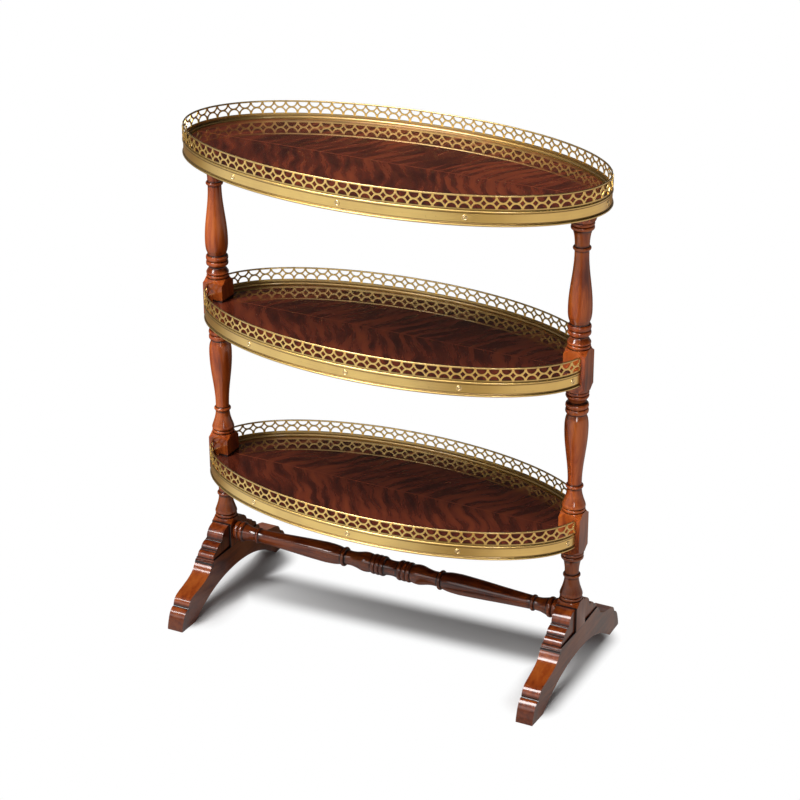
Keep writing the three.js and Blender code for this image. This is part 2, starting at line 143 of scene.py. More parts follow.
class Nodes:
    """A node tree, and the one way to add nodes to it"""

    def __init__(self, tree):
        self.tree = tree

    def socket(self, sockets, key):
        if isinstance(key, int):
            return sockets[key]
        return next(s for s in sockets if key in (s.identifier, s.name))

    def feed(self, node, key, value):
        target = self.socket(node.inputs, key)
        if isinstance(value, Value):
            self.tree.links.new(value.socket, target)
        else:
            target.default_value = value

    def node(self, kind, inputs=None, output=0, **settings):
        node = self.tree.nodes.new("ShaderNode" + kind)
        for key, value in settings.items():
            setattr(node, key, value)
        for key, value in (inputs or {}).items():
            self.feed(node, key, value)
        return node if output is None else Value(self, self.socket(node.outputs, output))

    def math(self, operation, *numbers):
        return self.node("Math", dict(enumerate(numbers)), operation=operation)

    def split(self, vector):
        split = self.node("SeparateXYZ", {"Vector": vector}, None)
        return [Value(self, split.outputs[i]) for i in range(3)]

    def ray(self, kind):
        return self.node("LightPath", output=kind)

    def vector(self, x, y, z):
        return self.node("CombineXYZ", {"X": x, "Y": y, "Z": z})

    def noise(self, vector, scale, detail, roughness=0.5):
        inputs = {"Vector": vector, "Scale": scale, "Detail": detail, "Roughness": roughness}
        return self.node("TexNoise", inputs, "Fac")

    def ramp(self, factor, stops):
        node = self.node("ValToRGB", {"Fac": factor}, None)
        elements = node.color_ramp.elements
        while len(elements) < len(stops):
            elements.new(1)
        for element, (position, colour) in zip(elements, stops):
            element.position, element.color = position, (*colour, 1)
        return Value(self, node.outputs["Color"])

    def mix(self, factor, below, above, blend="MIX"):
        below, above = ((*c, 1) if isinstance(c, tuple) else c for c in (below, above))
        inputs = {"Factor_Float": factor, "A_Color": below, "B_Color": above}
        return self.node("Mix", inputs, "Result_Color", data_type="RGBA", blend_type=blend)

    def grey(self, value):
        return self.node("CombineColor", {"Red": value, "Green": value, "Blue": value})

    def bump(self, height, distance, strength):
        inputs = {"Height": height, "Distance": distance, "Strength": strength}
        return self.node("Bump", inputs, "Normal")

    def attribute(self, name):
        return self.node("Attribute", output="Fac", attribute_type="GEOMETRY",
                         attribute_name=name)


class Paint(Nodes):
    """A new material, with the place on the piece ready for its formulas"""

    def __init__(self, name):
        self.material = bpy.data.materials.new(name)
        self.material.use_nodes = True
        super().__init__(self.material.node_tree)
        self.shader = self.tree.nodes["Principled BSDF"]
        self.place = self.node("TexCoord", output="Object")
        self.x, self.y, self.z = self.split(self.place)

    def finish(self, **inputs):
        for key, value in inputs.items():
            self.feed(self.shader, key.replace("_", " "), value)
        return self.material


print("shader arithmetic ready")

# %% [markdown]
# ## Polished hardwood
#
# The posts, the feet and the stretcher are reddish hardwood, glazed dark in the grooves and
# polished. The grain runs along each piece, so the recipe is mixed for each direction:
# noise stretched along the grain gives the broad stripes, a finer one gives pores, and a few
# small dark marks stand for wear. Painted shade is added to the dark glaze in the grooves and
# where two pieces meet: it comes from an attribute that the turned pieces carry, and from
# formulas that say where two pieces meet. The wood is also darker towards the floor.

# %% Hardwood
# The attribute holds how much dark glaze and painted shade a point of wood gets, and on brass how
# much browner metal and painted shade.
DARK_AND_SHADE = "dark_and_shade"
STRIPE_SCALE = 130
PORE_SCALE = 900
GRAIN_STRETCH = 11
MARK_SCALE = 75
BEND_SCALE, PATCH_SCALE, KEPT_SCALE, SMEAR_SCALE = 9, 14, 38, 26
WOOD_TONES = [(0, (0.12, 0.016, 0.004)), (0.45, (0.35, 0.062, 0.009)), (1, (0.52, 0.12, 0.019))]
PORE_COLOUR = (0.12, 0.020, 0.006)
BASE_SHADE = 0.5
BASE_LOW, BASE_HIGH = 0.11, 0.32
# One dark colour for the small wear marks, for the glaze and for the painted shade in grooves and
# creases.
MARK_GLAZE_AND_SHADE_COLOUR = (0.012, 0.004, 0.003)
WORN_COLOUR = (0.52, 0.17, 0.06)


def crease(place, at, reach):
    """1 where the place is at `at`, and 0 from `reach` off it, both in millimetres"""
    return 1 - abs(place - at * MM).over(reach * 0.15 * MM, reach * MM)


def hardwood(name, grain, worn=0.0, creases=None):
    paint = Paint(name)
    places = [paint.x, paint.y, paint.z]
    bend = (paint.noise(paint.place, BEND_SCALE, detail=1) - 0.5) * 0.02
    across = [p + bend for p in places]
    across[grain] = places[grain] * (1 / GRAIN_STRETCH)
    along = paint.vector(*across)
    stripes = paint.noise(along, STRIPE_SCALE, detail=4, roughness=0.6)
    pores = paint.noise(along, PORE_SCALE, detail=2, roughness=0.7)
    patches = paint.noise(paint.place, PATCH_SCALE, detail=2)
    tone = (stripes * 0.5 + patches * 0.5).over(0.3, 0.7)
    colour = paint.ramp(tone, WOOD_TONES)
    colour = paint.mix(pores.over(0.6, 0.78) * 0.4, colour, PORE_COLOUR)
    marks = paint.node("TexVoronoi", {"Vector": paint.place, "Scale": MARK_SCALE}, "Distance")
    kept = paint.noise(paint.place, KEPT_SCALE, detail=0).over(0.62, 0.66)
    colour = paint.mix((1 - marks.over(0.05, 0.1)) * kept * 0.85, colour, MARK_GLAZE_AND_SHADE_COLOUR)
    colour = paint.mix(worn, colour, WORN_COLOUR)
    # The colour is darker towards the floor, half as bright at the bottom.
    shade = paint.z.over(BASE_LOW, BASE_HIGH) * (1 - BASE_SHADE) + BASE_SHADE
    colour = paint.mix(1.0, colour, paint.grey(shade), blend="MULTIPLY")
    # Dark glaze and painted shade in the turned grooves, and the crease formulas' painted shade
    # and darker parts.
    dark_and_shade = paint.attribute(DARK_AND_SHADE)
    if creases:
        dark_and_shade = dark_and_shade + creases(paint)
    colour = paint.mix((dark_and_shade * 0.92).clamped(), colour, MARK_GLAZE_AND_SHADE_COLOUR)
    smears = paint.noise(paint.place, SMEAR_SCALE, detail=3)
    return paint.finish(
        Base_Color=colour,
        Roughness=smears * 0.14 + 0.3,
        Specular_IOR_Level=0.03,
        Normal=paint.bump(pores * 0.5 + stripes * 0.5, 0.00002, 0.15),
        Coat_Weight=0.36,
        Coat_IOR=1.9,
        Coat_Roughness=0.13,
    )


X, Y, Z = range(3)
wood_along = hardwood("polished_hardwood_along", X)
print("hardwood finishes ready")

# %% [markdown]
# ## Flame veneer
#
# The shelves are faced with crotch veneer, in which dark flames branch from the middle like
# the barbs of a feather. Two leaves are opened like a book, so the figure is mirrored at a
# seam: the mirror is the absolute value of Y. Each flame is a line of constant "barb" value,
# which leans over as it runs outward. Noise bends the lines and makes their spacing uneven.
# The varnish is thick and level, so the coat is sharp and mirrors the brass.

# %% Veneer
FLAME_LEAN = 0.5
FLAME_SWEEP = 1.2
FLAME_SCALE, RAY_SCALE = 72, 300
SWAY_SCALE, CURL_SCALE, CLOUD_SCALE, LIVELY_SCALE, RIPPLE_SCALE = 5, 30, 9, 12, 16
FIDDLE_PITCH = 0.022
VENEER_TONES = [
    (0, (0.034, 0.007, 0.004)), (0.5, (0.090, 0.016, 0.007)), (1, (0.160, 0.031, 0.011)),
]
SEAM_COLOUR = (0.25, 0.055, 0.022)
SEAM_HALF = 0.0006


def flame_veneer(name, shift, low, high):
    paint = Paint(name)
    out = abs(paint.y)
    leaf = paint.vector(paint.x + shift, out, shift)
    sway = (paint.noise(leaf, SWAY_SCALE, detail=2) - 0.5) * 0.10
    curl = (paint.noise(leaf, CURL_SCALE, detail=2) - 0.5) * 0.012
    barb = paint.x - out * FLAME_LEAN - out * out * FLAME_SWEEP + sway + curl + shift
    flow = paint.vector(barb, out * 0.25, shift)
    bands = paint.noise(flow, FLAME_SCALE, detail=2, roughness=0.4)
    fiddle = (barb * (2 * math.pi / FIDDLE_PITCH)).math("SINE") * 0.5 + 0.5
    fine_flow = paint.vector(barb, out * 0.1, shift)
    rays = paint.noise(fine_flow, RAY_SCALE, detail=3, roughness=0.6)
    cloud = paint.noise(leaf, CLOUD_SCALE, detail=2)
    elsewhere = paint.vector(paint.x, out, shift + 3)
    lively = paint.noise(elsewhere, LIVELY_SCALE, detail=1).over(0.3, 0.7)
    waves = bands + (fiddle - 0.5) * lively * 0.2
    tone = (waves * 0.48 + rays * 0.24 + cloud * 0.28).over(low, high)
    # The figure is darker towards both ends of the oval.
    ends = (paint.x * paint.x).over(0.01, 0.1)
    colour = paint.ramp(tone * (1 - ends * 0.3), VENEER_TONES)
    seam = 1 - out.over(SEAM_HALF * 0.6, SEAM_HALF * 1.6)
    colour = paint.mix(seam * 0.6, colour, SEAM_COLOUR)
    ripple = paint.noise(paint.place, RIPPLE_SCALE, detail=1)
    return paint.finish(
        Base_Color=colour,
        Roughness=tone * 0.08 + 0.35,
        Specular_IOR_Level=0.1,
        Normal=paint.bump(ripple, 0.0003, 0.1),
        Coat_Weight=1.0,
        Coat_Roughness=0.02,
        Coat_IOR=2.0,
    )


LEAVES = {"top": (0.07, 0.36, 0.68), "middle": (0.83, 0.32, 0.67), "bottom": (1.64, 0.34, 0.68)}
veneers = {shelf: flame_veneer(f"flame_veneer_{shelf}", *leaf) for shelf, leaf in LEAVES.items()}
print("veneers ready:", ", ".join(veneers))

# %% [markdown]
# ## Brass
#
# The brass was brushed along the ovals, lacquered and left to mellow. The brush lines are
# noise that changes fast up and down and slowly round the oval, and they feed the roughness
# and a very shallow bump. A slow noise browns the colour in patches.

# %% Brass
BRASS_CLEAR = (0.78, 0.54, 0.16)
BRASS_MELLOW = (0.56, 0.36, 0.11)
BRASS_SPOT = (0.22, 0.11, 0.03)
BRASS_BROWN_AND_SHADE = (0.13, 0.055, 0.018)
BRUSH_SCALE, BRUSH_STRETCH = 900, 0.012
BLOTCH_SCALE, SPECK_SCALE = 13, 260


def satin_brass(name, gloss, brushed, clear=BRASS_CLEAR, mellow_share=0.6):
    paint = Paint(name)
    line = paint.vector(paint.x * BRUSH_STRETCH, paint.y * BRUSH_STRETCH, paint.z)
    brush = paint.noise(line, BRUSH_SCALE, detail=3, roughness=0.7)
    patches = paint.noise(paint.place, BLOTCH_SCALE, detail=3, roughness=0.6)
    specks = paint.noise(paint.place, SPECK_SCALE, detail=2)
    mellow = (patches * 0.7 + brush * 0.3).over(0.4, 0.68)
    colour = paint.mix(mellow * mellow_share, clear, BRASS_MELLOW)
    colour = paint.mix(specks.over(0.66, 0.78) * 0.3, colour, BRASS_SPOT)
    # Browner metal and painted shade in the band's grooves, the beads a little browner, and
    # painted shade on the band's inside.
    colour = paint.mix((paint.attribute(DARK_AND_SHADE) * 0.85).clamped(), colour, BRASS_BROWN_AND_SHADE)
    return paint.finish(
        Base_Color=colour,
        Metallic=1.0,
        Roughness=(brush - 0.5) * 0.16 * brushed + patches * 0.1 + gloss,
        Normal=paint.bump(brush * brushed + specks * 0.3, 0.00004, 0.6),
        Coat_Weight=0.7,
        Coat_IOR=1.6,
        Coat_Roughness=0.14,
    )


brass_band = satin_brass("brushed_brass", gloss=0.34, brushed=1.0)
brass_cast = satin_brass("cast_brass", gloss=0.44, brushed=0.25)
# The rails get a darker copy of the brass, as painted shade against the light they catch from
# above.
darker_rail_brass = satin_brass("painted_shade_rail_brass", 0.3, 0.1, clear=(0.58, 0.40, 0.14), mellow_share=0.4)
brass_pin = satin_brass("pin_brass", 0.2, 0.0, clear=(0.74, 0.54, 0.24), mellow_share=0.3)
print("brass ready")

# %% [markdown]
# ## Underside
#
# Nobody polishes the underside of a shelf. It is a plain board with a thin dark stain, a
# straight open grain and almost no gloss.

# %% Stained board
OPEN_GRAIN_SCALE, OPEN_GRAIN_STRETCH, BLOT_SCALE = 210, 0.06, 9


def stained_board(name, dark, light):
    paint = Paint(name)
    along = paint.vector(paint.x * OPEN_GRAIN_STRETCH, paint.y, paint.z)
    grain = paint.noise(along, OPEN_GRAIN_SCALE, detail=4, roughness=0.65)
    blots = paint.noise(paint.place, BLOT_SCALE, detail=3)
    tone = (grain * 0.6 + blots * 0.4).over(0.32, 0.68)
    return paint.finish(
        Base_Color=paint.ramp(tone, [(0, dark), (1, light)]),
        Roughness=grain * 0.2 + 0.55,
        Normal=paint.bump(grain, 0.0002, 0.5),
    )


board_stain = stained_board("stained_board", (0.045, 0.017, 0.010), (0.13, 0.055, 0.030))
dowel_wood = stained_board("plain_dowel_wood", (0.36, 0.22, 0.11), (0.55, 0.37, 0.2))
for node_name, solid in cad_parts.items():
    if "dowel" in node_name:
        solid.data.materials.clear()
        solid.data.materials.append(dowel_wood)
print("board and dowels ready")

# %% [markdown]
# ## Working by hand, in code
#
# Every operator works on what is selected, and after loading, all the solids are. So each
# piece starts with nothing selected. A few helpers keep the rest short: one goes into edit
# mode and comes back by itself, others apply a modifier, saw a piece along a plane, or cut
# it with another piece.

# %% Helpers for modelling
WELD, ON_PLANE = 0.002 * MM, 0.001 * MM


def deselect_all():
    if bpy.context.object and bpy.context.object.mode != "OBJECT":
        bpy.ops.object.mode_set(mode="OBJECT")
    bpy.ops.object.select_all(action="DESELECT")


def make_active(piece):
    deselect_all()
    piece.select_set(True)
    bpy.context.view_layer.objects.active = piece


@contextmanager
def edit_mode(piece):
    """Edit mode with everything selected, and object mode again at the end"""
    make_active(piece)
    bpy.ops.object.mode_set(mode="EDIT")
    bpy.ops.mesh.select_all(action="SELECT")
    yield
    bpy.ops.object.mode_set(mode="OBJECT")


def delete_faces(piece, test):
    """Takes off the faces whose centre and normal pass the test."""
    make_active(piece)
    for part in (piece.data.vertices, piece.data.edges, piece.data.polygons):
        part.foreach_set("select", [False] * len(part))
    for face in piece.data.polygons:
        face.select = test(face.center, face.normal)
    bpy.ops.object.mode_set(mode="EDIT")
    bpy.ops.mesh.select_mode(type="FACE")
    bpy.ops.mesh.delete(type="FACE")
    bpy.ops.object.mode_set(mode="OBJECT")


def apply_modifier(piece, kind, **settings):
    make_active(piece)
    modifier = piece.modifiers.new(kind.lower(), kind)
    for key, value in settings.items():
        setattr(modifier, key, value)
    bpy.ops.object.modifier_apply(modifier=modifier.name)


def bevel(piece, width, **settings):
    apply_modifier(piece, "BEVEL", width=width * MM, segments=3, limit_method="ANGLE",
                   **settings)


def cut_with(piece, tool, operation="DIFFERENCE"):
    apply_modifier(piece, "BOOLEAN", operation=operation, object=tool, solver="EXACT")
    bpy.data.objects.remove(tool)


def saw(piece, place, normal, **settings):
    """Cuts along a plane, takes one side away and closes the cut. A wide face that lies almost
    in the plane needs a small threshold, or it goes as a whole."""
    with edit_mode(piece):
        bpy.ops.mesh.bisect(plane_co=place, plane_no=normal, use_fill=True, **settings)


def apply_place(piece):
    make_active(piece)
    bpy.ops.object.transform_apply(location=True, rotation=True, scale=True)


def add_block(place, size):
    deselect_all()
    bpy.ops.mesh.primitive_cube_add(size=1, location=place)
    block = bpy.context.object
    block.scale = size
    apply_place(block)
    return block


def tidy_normals(piece):
    with edit_mode(piece):
        bpy.ops.mesh.remove_doubles(threshold=WELD)
        bpy.ops.mesh.normals_make_consistent(inside=False)


def soften(piece, degrees=35):
    make_active(piece)
    bpy.ops.object.shade_smooth_by_angle(angle=math.radians(degrees))


def copy_of(piece, name):
    make_active(piece)
    bpy.ops.object.duplicate()
    copied = bpy.context.object
    copied.name = name
    return copied


def store_dark_and_shade(piece, values):
    layer = piece.data.attributes.new(DARK_AND_SHADE, "FLOAT", "POINT")
    layer.data.foreach_set("value", values)


def hand_over(piece, material, slot, *nodes):
    """The finished piece gets its material, rides on the table and replaces its solids."""
    if material:
        piece.data.materials.append(material)
    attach(piece, "root")
    if nodes:
        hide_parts(*nodes)
    print(piece.name, len(piece.data.polygons), "faces")


print("helpers ready")

# %% [markdown]
# ## Ovals from stacked loops
#
# A moulding round an oval is a stack of loops: a circle is drawn at the section's first
# point and stretched to the oval, and each further point is the same loop, extruded, moved
# up or down and widened. A ring's last loop is bridged to its first. A solid starts from a
# filled circle. Turned work is the same thing with equal half lengths.

# %% Stacked loops
def stack_loops(name, loops, sides, ring):
    """loops holds (half length, half depth, height) in metres, from the first to the last."""
    deselect_all()
    half_length, half_depth, height = loops[0]
    bpy.ops.mesh.primitive_circle_add(
        vertices=sides, radius=1, fill_type="NOTHING" if ring else "NGON",
        location=(0, 0, height),
    )
    piece = bpy.context.object
    piece.name = piece.data.name = name
    piece.scale = (half_length, half_depth, 1)
    apply_place(piece)
    with edit_mode(piece):
        for length, depth, level in loops[1:]:
            rise = (0, 0, level - height)
            bpy.ops.mesh.extrude_region_move(TRANSFORM_OT_translate={"value": rise})
            bpy.ops.transform.resize(value=(length / half_length, depth / half_depth, 1))
            half_length, half_depth, height = length, depth, level
        if ring:
            bpy.ops.mesh.select_all(action="DESELECT")
            bpy.ops.mesh.select_mode(type="EDGE")
            bpy.ops.mesh.select_non_manifold(extend=False)
            bpy.ops.mesh.bridge_edge_loops()
    tidy_normals(piece)
    return piece


def turned(name, line, sides):
    """A solid of revolution from (height, radius) points in millimetres"""
    return stack_loops(name, [(r * MM, r * MM, z * MM) for z, r in line], sides, ring=False)


def spline(points, steps):
    """A smooth line through the points (Catmull-Rom)"""
    if len(points) < 3:
        return list(points)
    ends = [points[0], *points, points[-1]]
    line = []
    for i in range(len(points) - 1):
        before, a, b, after = (Vector(p) for p in ends[i:i + 4])
        for step in range(steps):
            t = step / steps
            line.append(tuple(0.5 * (
                2 * a + (b - before) * t
                + (2 * before - 5 * a + 4 * b - after) * t * t
                + (3 * a - before - 3 * b + after) * t ** 3
            )))
    return [*line, points[-1]]


def bead(start, end, foot, top, steps=8):
    """A half-round bead on a line of (distance, radius), turned or not"""
    middle, half = (start + end) / 2, (end - start) / 2
    angles = [math.pi * i / steps for i in range(steps + 1)]
    return [(middle - half * math.cos(a), foot + (top - foot) * math.sin(a)) for a in angles]


LONGEST_SPLINE, SAME_POINT = 7, 1e-4


def joined(runs, steps=4):
    """Runs of points, smooth inside a run and with a corner where two runs meet"""
    line = []
    for run in runs:
        smooth = run if len(run) > LONGEST_SPLINE else spline(run, steps)
        line += [p for p in smooth
                 if not line or (Vector(p) - Vector(line[-1])).length > SAME_POINT]
    return line


print("loops, splines and beads ready")

# %% [markdown]
# ## Sizes from the solids
#
# The ovals' half axes and the heights are read from the solids. Every section is then
# written in millimetres: how far out from the gallery's face, and how far below the rim.

# %% Sizes
FOOT_BEAD_PROUD = 2.3
RAILS = {"top": "top_gallery_rail", "middle": "middle_gallery_rail_front",
         "bottom": "bottom_gallery_rail_front"}
RIM = {shelf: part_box(rail)[1].z for shelf, rail in RAILS.items()}
low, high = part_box("top_edge_band")
TOP_AXES = (high.x - FOOT_BEAD_PROUD * MM, high.y - FOOT_BEAD_PROUD * MM)
BLOCK_CLEAR = -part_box("middle_edge_band_front")[1].y
low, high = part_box("left_post")
BLOCK_HALF = (high.y - low.y) / 2
POST_X = -(high.x + low.x) / 2
LOWER_REACH = 11.0 * MM
LOWER_AXES = (POST_X + LOWER_REACH,
              -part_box("middle_edge_band_front")[0].y - FOOT_BEAD_PROUD * MM)
AXES = {"top": TOP_AXES, "middle": LOWER_AXES, "bottom": LOWER_AXES}
print("rims", RIM, "top", TOP_AXES, "lower", LOWER_AXES, "post at", POST_X)

# %% [markdown]
# ## Edge bands
#
# Round each shelf runs one brass moulding: a narrow flat that the gallery stands on, a
# proud bead below it, a plain fascia, and a fuller bead at the foot. Inside the gallery it
# turns over as a quarter round that hides the veneer's edge. On the lower two shelves the
# band is two halves that stop at the posts, so the whole ring is made once, copied, and sawn
# off with bisect, which fills the cut.

# %% The band's section
RING_SIDES = 192
BAND_TOP, BAND_FOOT, BOARD_TOP = -19.0, -43.4, -26.9
FASCIA_OUT = 0.6
GROOVES = (-21.1, -25.3, -38.6, -40.05)
BEADS = ((-25.0, -21.3), (-43.4, -40.1))
BEAD_MELLOW, INSIDE_SHADE = 0.25, 0.85
GROOVE_REACH, INSIDE_BELOW, OUTER_SHARE = 1.1, -20.5, 0.994


def upright_bead(top, foot, inner, outer, steps=8):
    return [(out, level) for level, out in bead(top, foot, inner, outer, steps)]


inside_round = [(-1.95 - 2.6 * math.sin(a), -25.9 + 3.4 * math.cos(a))
                for a in (math.pi / 2 * i / 6 for i in range(7))]
BAND_SECTION = [
    (0.2, BAND_TOP), (0.2, -20.9), (-0.25, -21.1),
    *upright_bead(-21.3, -25.0, 0.1, 1.8), (0.25, -25.25),
    (FASCIA_OUT, -25.5), (FASCIA_OUT, -26.5), (FASCIA_OUT, -37.4), (FASCIA_OUT, -38.3),
    (0.2, -38.6),
    *upright_bead(-38.8, -40.0, 0.4, 1.1, 4),
    *upright_bead(-40.1, BAND_FOOT, 0.6, FOOT_BEAD_PROUD),
    (-0.9, BAND_FOOT), (-0.9, BOARD_TOP), (-8.6, BOARD_TOP), (-8.6, -26.1),
    *reversed(inside_round), (-1.95, BAND_TOP),
]


def oval(name, shelf, section, ring=True):
    (length, depth), rim = AXES[shelf], RIM[shelf]
    loops = [(length + out * MM, depth + out * MM, rim + down * MM) for out, down in section]
    return stack_loops(name, loops, RING_SIDES, ring)


print("section of", len(BAND_SECTION), "points")

# %% Bands round the shelves
SIDES = {"front": -1, "back": 1}


def hand_halves(whole, name, clear, material, slot, part):
    """Hands over what lies in front of -clear and behind clear as two pieces."""
    for word, side in SIDES.items():
        half = copy_of(whole, f"{name}_{word}")
        saw(half, (0, side * clear, 0), (0, side, 0), clear_inner=True)
        soften(half)
        hand_over(half, material, slot, f"{part}_{word}")
    bpy.data.objects.remove(whole)


def place_ring(shelf, ring, part, material):
    """Hands a ring over whole on the top shelf, and in two halves on the others."""
    if shelf == "top":
        soften(ring)
        hand_over(ring, material, "brass", f"top_{part}")
    else:
        hand_halves(ring, ring.name, BLOCK_CLEAR, material, "brass", f"{shelf}_{part}")


def brown_and_shade_band(ring, shelf):
    """Marks browner metal and painted shade in the outer grooves, a little brown on the beads,
    and painted shade on the inside.
    """
    values = []
    for vertex in ring.data.vertices:
        x, y, z = vertex.co
        outside = (x / AXES[shelf][0]) ** 2 + (y / AXES[shelf][1]) ** 2 > OUTER_SHARE
        level = (z - RIM[shelf]) / MM
        near = min(abs(level - groove) for groove in GROOVES)
        on_bead = any(foot <= level <= top for foot, top in BEADS)
        groove = max(1 - near / GROOVE_REACH, BEAD_MELLOW if on_bead else 0.0)
        values.append(groove if outside else INSIDE_SHADE * (level < INSIDE_BELOW))
    store_dark_and_shade(ring, values)


for shelf in AXES:
    band = oval(f"{shelf}_band_moulding", shelf, BAND_SECTION)
    brown_and_shade_band(band, shelf)
    place_ring(shelf, band, "edge_band", brass_band)

# %% [markdown]
# ## Gallery rails
#
# A thin rail caps each gallery. It is square below, where it sits on the strip, and half
# round on top, so it catches one fine line of light.

# %% Rails
STRIP_TOP = -2.3
RAIL_OUT, RAIL_IN, RAIL_CROWN = 0.3, -1.75, -1.1
RAIL_SECTION = [(RAIL_OUT, STRIP_TOP), (RAIL_IN, STRIP_TOP),
                *bead(RAIL_IN, RAIL_OUT, RAIL_CROWN, 0)]
for shelf in AXES:
    rail = oval(f"{shelf}_rail_round", shelf, RAIL_SECTION)
    place_ring(shelf, rail, "gallery_rail", darker_rail_brass)

# %% [markdown]
# ## Pierced galleries
#
# The gallery is the finest work on the table: a strip of brass with half rounds hanging
# from its upper edge and standing on its lower edge, and a small square on its point
# between them. A pattern with transparency would cast no true shadow, so one motif is cut
# like the real one: a plate, sawn through by an oval bar above and below and by a square
# bar at each end. Its joining faces are taken off, an array welds the motifs into a row,
# and a curve modifier bends the row round the oval.

# %% One motif
STRIP_FOOT, STRIP_THICK = -19.0, 1.3
TARGET_PITCH = 16.9
HALF_ROUND_WIDTH, HALF_ROUND_DEPTH, HALF_ROUND_SIDES = 13.9, 7.3, 20
SQUARE_WIDTH, SQUARE_HEIGHT = 7.8, 8.6
BAR_LENGTH, CLOSE = 8.0, 0.01


def pierce(plate, sides, width, height, x, z):
    """Saws through the plate with a bar that is `width` by `height` and centred on (x, z)."""
    deselect_all()
    bpy.ops.mesh.primitive_cylinder_add(
        vertices=sides, radius=0.5, depth=BAR_LENGTH * MM, rotation=(math.pi / 2, 0, 0),
    )
    bar = bpy.context.object
    apply_place(bar)
    bar.scale = (width * MM, 1, height * MM)
    bar.location = (x * MM, 0, z * MM)
    apply_place(bar)
    cut_with(plate, bar)


def gallery_motif(pitch):
    middle = (STRIP_TOP + STRIP_FOOT) / 2
    plate = add_block((pitch / 2, STRIP_THICK / 2 * MM, middle * MM),
                      (pitch, STRIP_THICK * MM, (STRIP_TOP - STRIP_FOOT) * MM))
    for z in (STRIP_TOP, STRIP_FOOT):
        pierce(plate, HALF_ROUND_SIDES, HALF_ROUND_WIDTH, 2 * HALF_ROUND_DEPTH,
               pitch / 2 / MM, z)
    for x in (0, pitch / MM):
        pierce(plate, 4, SQUARE_WIDTH, SQUARE_HEIGHT, x, middle)
    with edit_mode(plate):
        for share in (0.25, 0.5, 0.75):
            bpy.ops.mesh.bisect(plane_co=(pitch * share, 0, 0), plane_no=(1, 0, 0))
            bpy.ops.mesh.select_all(action="SELECT")
    delete_faces(plate, lambda centre, normal: abs(normal.x) > 0.99 and (
        centre.x < CLOSE * MM or centre.x > pitch - CLOSE * MM))
    return plate


print("motif about", TARGET_PITCH, "mm wide")

# %% Rows of motifs, bent round the ovals
PATH_STEPS = 90


def pierced_ring(name, shelf):
    deselect_all()
    bpy.ops.curve.primitive_bezier_circle_add(radius=1)
    path = bpy.context.object
    path.data.resolution_u = PATH_STEPS
    path.data.use_radius = False
    path.scale = (*AXES[shelf], 1)
    apply_place(path)
    length = path.data.splines[0].calc_length()
    count = 4 * round(length / (4 * TARGET_PITCH * MM))
    row = gallery_motif(length / count)
    row.name = row.data.name = name
    apply_modifier(row, "ARRAY", count=count, use_merge_vertices=True,
                   merge_threshold=CLOSE * MM)
    apply_modifier(row, "CURVE", object=path, deform_axis="POS_X")
    bpy.data.objects.remove(path)
    tidy_normals(row)
    row.location.z = RIM[shelf]
    apply_place(row)
    print(name, count, "motifs on", round(length, 4), "m")
    return row


for shelf in AXES:
    place_ring(shelf, pierced_ring(f"{shelf}_pierced_strip", shelf), "gallery", brass_cast)

# %% [markdown]
# ## Shelf boards and veneer leaves
#
# A board is a thick oval with a small chamfer below, and the veneer lies on it in two
# leaves that meet in the middle. On the lower shelves both are notched for the posts by a
# boolean with a plain block, as the joiner notches them with a saw.

# %% Boards and leaves
BOARD_OUT, BOARD_FOOT, CHAMFER = -1.3, -42.9, 1.2
VENEER_OUT, VENEER_TOP = -8.6, -26.0
NOTCH_LENGTH, NOTCH_PLAY, NOTCH_HEIGHT = 0.1, 0.0005, 2


def notch(plate):
    """Makes room for both posts' blocks."""
    middle = POST_X - BLOCK_HALF + NOTCH_LENGTH / 2
    size = (NOTCH_LENGTH + NOTCH_PLAY, 2 * BLOCK_CLEAR, NOTCH_HEIGHT)
    for side in (-1, 1):
        cut_with(plate, add_block((side * middle, 0, RIM["middle"]), size))


BOARD_SECTION = [(BOARD_OUT - CHAMFER, BOARD_FOOT), (BOARD_OUT, BOARD_FOOT + CHAMFER),
                 (BOARD_OUT, BOARD_TOP)]
VENEER_SECTION = [(VENEER_OUT, BOARD_TOP), (VENEER_OUT, VENEER_TOP)]
for shelf in AXES:
    board = oval(f"{shelf}_board_oval", shelf, BOARD_SECTION, ring=False)
    sheet = oval(f"{shelf}_veneer_whole", shelf, VENEER_SECTION, ring=False)
    if shelf != "top":
        notch(board)
        notch(sheet)
    soften(board)
    hand_over(board, board_stain, "board", f"{shelf}_shelf_board")
    hand_halves(sheet, f"{shelf}_veneer_leaf", 0, veneers[shelf], "veneer", f"{shelf}_veneer")

# %% [markdown]
# ## Turned posts
#
# A post starts as a square blank. Blocks are left square where shelves and rails join it,
# and the lengths between are turned. The profile is written as runs of (distance from the
# block, radius) in millimetres. Where the turning runs up to a block it cuts the corners
# only, which leaves a curved line on each face. That line can't be drawn by hand: it comes
# by itself when the full turned shape is intersected with the square blank.

# %% Turned lines
SHOULDER = [
    [(-1.4, 23.8), (0.8, 21.0), (3.4, 18.8), (6.0, 17.5)],
    [(6.0, 17.5), (6.3, 15.4), (6.8, 15.2)],
    bead(6.9, 11.9, 15.2, 16.5),
    [(11.9, 15.2), (12.25, 14.4), (12.6, 15.0)],
]
SMALL_BEAD = bead(42.6, 48.0, 10.3, 12.7)
HANGING_END = [
    *SHOULDER,
    bead(12.6, 18.0, 15.0, 16.4),
    [(18.0, 15.0), (18.4, 14.3)],
    [(18.4, 14.3), (21.5, 12.7), (27.0, 11.4), (34.5, 10.5), (42.4, 10.2)],
]
STANDING_END = [
    *SHOULDER,
    [(12.6, 15.4), (13.6, 16.5), (15.4, 16.7), (17.6, 16.2), (21.4, 14.9)],
    [(21.4, 14.9), (24.6, 13.8), (28.5, 12.6), (34.5, 11.2), (42.4, 10.2)],
]
